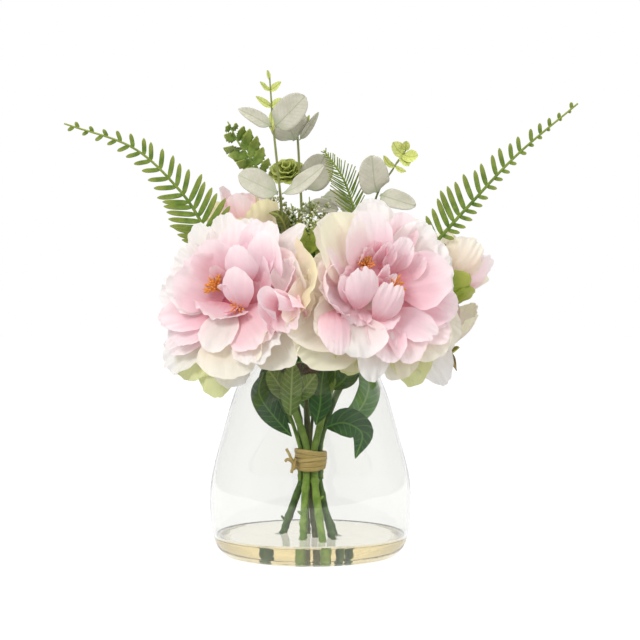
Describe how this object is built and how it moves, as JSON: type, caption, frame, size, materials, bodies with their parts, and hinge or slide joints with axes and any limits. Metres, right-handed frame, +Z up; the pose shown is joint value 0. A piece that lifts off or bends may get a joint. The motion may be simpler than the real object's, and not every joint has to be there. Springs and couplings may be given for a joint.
{
  "type": "peonies in a vase",
  "caption": "Artificial peonies, buds, eucalyptus and fern tied with raffia, standing in a clear glass vase whose resin filling looks like water.",
  "frame": {"origin": "middle of the vase's flat underside", "axes": "+Z up, out of the vase's mouth; -Y towards the viewer, where the two open peonies face; +X to the viewer's right, along the spread of the fern fronds"},
  "size_m": [0.3825, 0.1744, 0.361],
  "materials": {
    "clear_glass": "clear mould-blown soda-lime glass, fire-polished rim",
    "set_resin": "clear cast resin, slightly yellow, smooth top",
    "raffia": "dry natural raffia, wound in several turns",
    "stem_green": "moulded green plastic over wire, lightly ribbed",
    "leaf_green": "printed and pressed polyester leaf, dark on top",
    "fern_green": "moulded soft plastic, satin",
    "silver_leaf": "pressed polyester with a chalky silver-green print",
    "filler_green": "moulded soft plastic, satin",
    "petal_pink": "thin polyester petal, dyed pink to white at its edge",
    "petal_blush": "thin polyester petal, dyed blush to cream at its edge",
    "petal_cream": "thin polyester petal, cream with a green tinge",
    "stamen_gold": "flocked golden stamens",
    "calyx_green": "moulded soft plastic, satin"
  },
  "bodies": {
    "root": {"berry_sprig": "filler_green", "bud_back_left_calyx": "calyx_green", "bud_back_left_petals_inner": "petal_pink", "bud_back_left_petals_outer": "petal_cream", "bud_low_right_calyx": "calyx_green", "bud_low_right_petals_inner": "petal_pink", "bud_low_right_petals_outer": "petal_cream", "bud_right_calyx": "calyx_green", "bud_right_petals_inner": "petal_pink", "bud_right_petals_outer": "petal_cream", "eucalyptus_pair_back": "silver_leaf", "eucalyptus_pair_high": "silver_leaf", "eucalyptus_pair_low": "silver_leaf", "eucalyptus_pair_middle": "silver_leaf", "eucalyptus_pair_right": "silver_leaf", "fern_frond_left": "fern_green", "fern_frond_right": "fern_green", "glass_vase": "clear_glass", "green_rosette": "filler_green", "leaf_back_inside": "leaf_green", "leaf_curled_right": "leaf_green", "leaf_folded": "leaf_green", "leaf_inner_left": "leaf_green", "leaf_long_left": "leaf_green", "leaf_middle": "leaf_green", "leaf_rear": "leaf_green", "leaf_small_right": "calyx_green", "leaf_top_left": "leaf_green", "leaf_whorl_front": "calyx_green", "leafy_sprig": "filler_green", "needle_sprig": "fern_green", "peony_left_calyx": "calyx_green", "peony_left_petals_collar": "petal_cream", "peony_left_petals_heart": "petal_pink", "peony_left_petals_inner": "petal_pink", "peony_left_petals_middle": "petal_blush", "peony_left_petals_outer": "petal_blush", "peony_left_stamens": "stamen_gold", "peony_right_calyx": "calyx_green", "peony_right_petals_collar": "petal_cream", "peony_right_petals_heart": "petal_pink", "peony_right_petals_inner": "petal_pink", "peony_right_petals_middle": "petal_blush", "peony_right_petals_outer": "petal_blush", "peony_right_stamens": "stamen_gold", "raffia_band": "raffia", "raffia_knot": "raffia", "resin_water": "set_resin", "stem_bud_back_left": "stem_green", "stem_bud_low_right": "stem_green", "stem_bud_right": "stem_green", "stem_eucalyptus_back": "stem_green", "stem_eucalyptus_right": "stem_green", "stem_eucalyptus_tall": "stem_green", "stem_fern_left": "stem_green", "stem_fern_right": "stem_green", "stem_leafy_sprig": "stem_green", "stem_peony_left": "stem_green", "stem_peony_right": "stem_green"}
  },
  "joints": []
}
